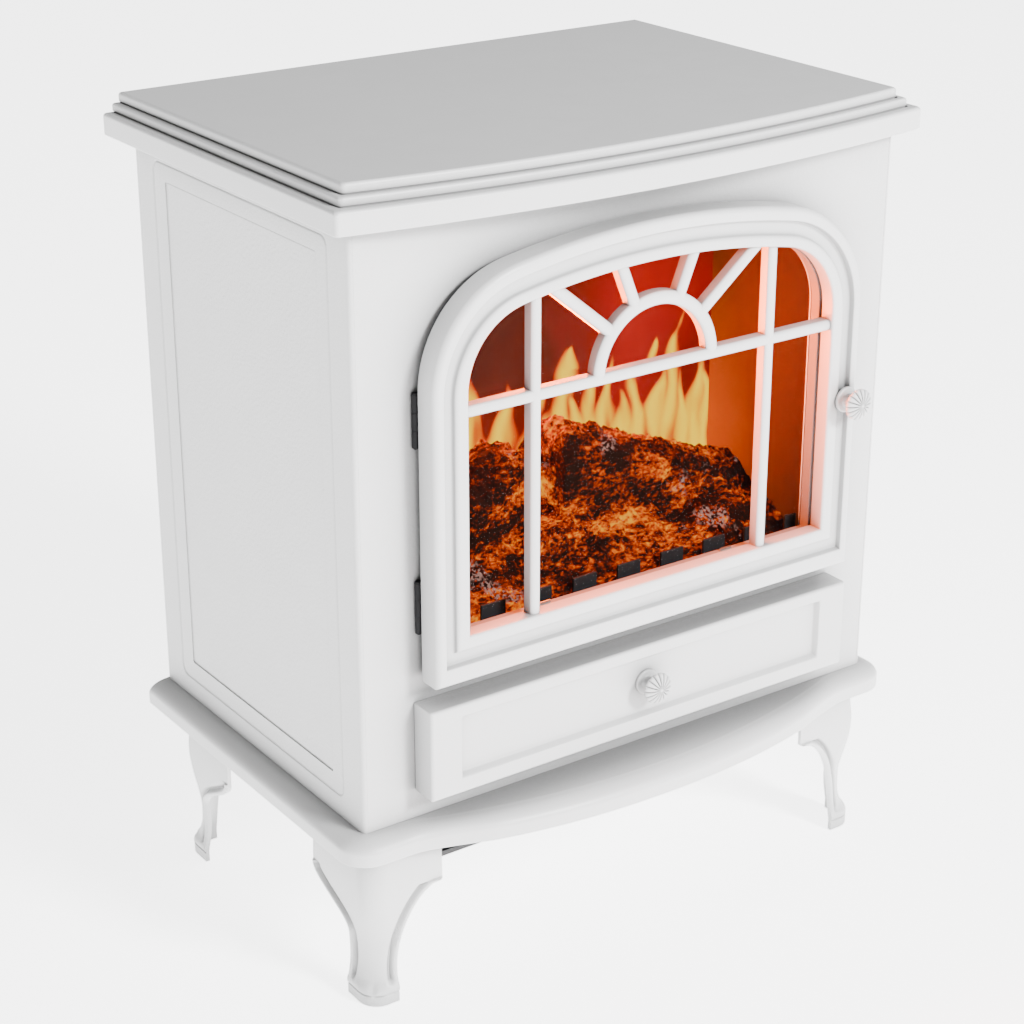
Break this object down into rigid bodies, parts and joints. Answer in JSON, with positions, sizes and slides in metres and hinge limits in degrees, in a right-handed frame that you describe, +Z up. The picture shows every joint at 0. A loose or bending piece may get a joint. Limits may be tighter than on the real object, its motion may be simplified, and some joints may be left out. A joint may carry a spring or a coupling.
{
  "type": "electric fireplace",
  "caption": "Free-standing electric stove with an arched fanlight door, a log-effect fire behind glass, a drop-down control cover and curved legs.",
  "frame": {"origin": "centre of the bounding box's bottom face, on the floor between the feet", "axes": "+X to the right of someone facing the door, +Y to the back, +Z up"},
  "size_m": [0.484, 0.35, 0.59],
  "materials": {
    "white_sheet": "satin white powder coat",
    "white_casting": "satin white powder coat",
    "white_moulding": "satin white, moulded",
    "zinc_steel": "zinc plated",
    "black_steel": "satin black",
    "clear_glass": "clear and polished",
    "grey_gasket": "grey sealing strip",
    "black_plastic": "black, fine grain",
    "red_plastic": "translucent red",
    "grey_plastic": "dark grey, glossy",
    "pale_plastic": "off-white, fine grain",
    "galvanised_steel": "galvanised sheet",
    "firebox_paint": "matt, dark red brown",
    "log_resin": "moulded resin logs and embers",
    "flame_acrylic": "translucent screen lit from behind",
    "foil_brass": "bright foil strips",
    "circuit_green": "lacquered board",
    "ceramic": "fired ceramic frame and wire"
  },
  "bodies": {
    "casing": {"top_panel": "white_moulding", "left_side_panel": "white_sheet", "right_side_panel": "white_sheet", "front_panel": "white_sheet", "back_panel": "white_sheet", "base_plate": "white_moulding", "leg_front_left": "white_casting", "leg_front_right": "white_casting", "leg_back_left": "white_casting", "leg_back_right": "white_casting", "leg_screws": "zinc_steel", "casing_screws": "zinc_steel", "upper_hinge_body_leaf": "black_steel", "upper_hinge_pin": "black_steel", "lower_hinge_body_leaf": "black_steel", "lower_hinge_pin": "black_steel", "hinge_body_screws": "black_steel", "door_magnet": "black_plastic", "cover_hinge_brackets": "zinc_steel", "cover_magnet": "black_plastic", "control_panel": "pale_plastic", "switch_housings": "black_plastic", "thermostat_body": "galvanised_steel", "firebox_liner": "firebox_paint", "log_bed": "log_resin", "ember_rail": "black_steel", "flame_screen": "flame_acrylic", "light_box": "galvanised_steel", "spindle_motor": "galvanised_steel", "spindle_bearing": "pale_plastic", "led_board": "circuit_green", "heater_housing": "galvanised_steel", "heating_element": "ceramic", "blower_motor": "galvanised_steel", "outlet_grille": "black_plastic", "thermal_cutout": "pale_plastic", "terminal_block": "pale_plastic", "cord_gland": "black_plastic"},
    "door": {"door_frame": "white_moulding", "fanlight_bars": "white_moulding", "door_glass": "clear_glass", "glass_retainer": "grey_gasket", "glass_clips": "zinc_steel", "glass_clip_screws": "zinc_steel", "door_knob": "white_moulding", "door_knob_screw": "zinc_steel", "upper_hinge_door_leaf": "black_steel", "lower_hinge_door_leaf": "black_steel", "hinge_door_screws": "black_steel", "door_strike_plate": "zinc_steel"},
    "cover": {"control_cover": "white_moulding", "cover_knob": "white_moulding", "cover_knob_screw": "zinc_steel", "cover_strike_plate": "zinc_steel"},
    "flame_switch": {"flame_rocker": "red_plastic"},
    "low_heat_switch": {"low_heat_rocker": "grey_plastic"},
    "high_heat_switch": {"high_heat_rocker": "grey_plastic"},
    "dial": {"thermostat_dial": "pale_plastic"},
    "spindle": {"flame_spindle": "foil_brass"},
    "blower": {"blower_wheel": "black_plastic"}
  },
  "joints": [
    {"name": "door_hinge", "type": "hinge", "parent": "casing", "child": "door", "pos_m": [-0.1805, -0.12875, 0.36], "axis": [0, 0, -1], "range_deg": [0, 95]},
    {"name": "cover_hinge", "type": "hinge", "parent": "casing", "child": "cover", "pos_m": [0, -0.1289, 0.1635], "axis": [1, 0, 0], "range_deg": [0, 60]},
    {"name": "flame_switch_tilt", "type": "hinge", "parent": "casing", "child": "flame_switch", "pos_m": [-0.11, -0.1016, 0.192], "axis": [-1, 0, 0], "range_deg": [0, 20]},
    {"name": "low_heat_switch_tilt", "type": "hinge", "parent": "casing", "child": "low_heat_switch", "pos_m": [-0.07, -0.1016, 0.192], "axis": [-1, 0, 0], "range_deg": [0, 20]},
    {"name": "high_heat_switch_tilt", "type": "hinge", "parent": "casing", "child": "high_heat_switch", "pos_m": [-0.03, -0.1016, 0.192], "axis": [-1, 0, 0], "range_deg": [0, 20]},
    {"name": "dial_turn", "type": "hinge", "parent": "casing", "child": "dial", "pos_m": [0.095, -0.11, 0.192], "axis": [0, 1, 0], "range_deg": [0, 270]},
    {"name": "spindle_spin", "type": "hinge", "parent": "casing", "child": "spindle", "pos_m": [0, 0.024, 0.292], "axis": [1, 0, 0], "continuous": true},
    {"name": "blower_spin", "type": "hinge", "parent": "casing", "child": "blower", "pos_m": [0, 0.022, 0.188], "axis": [1, 0, 0], "continuous": true}
  ]
}
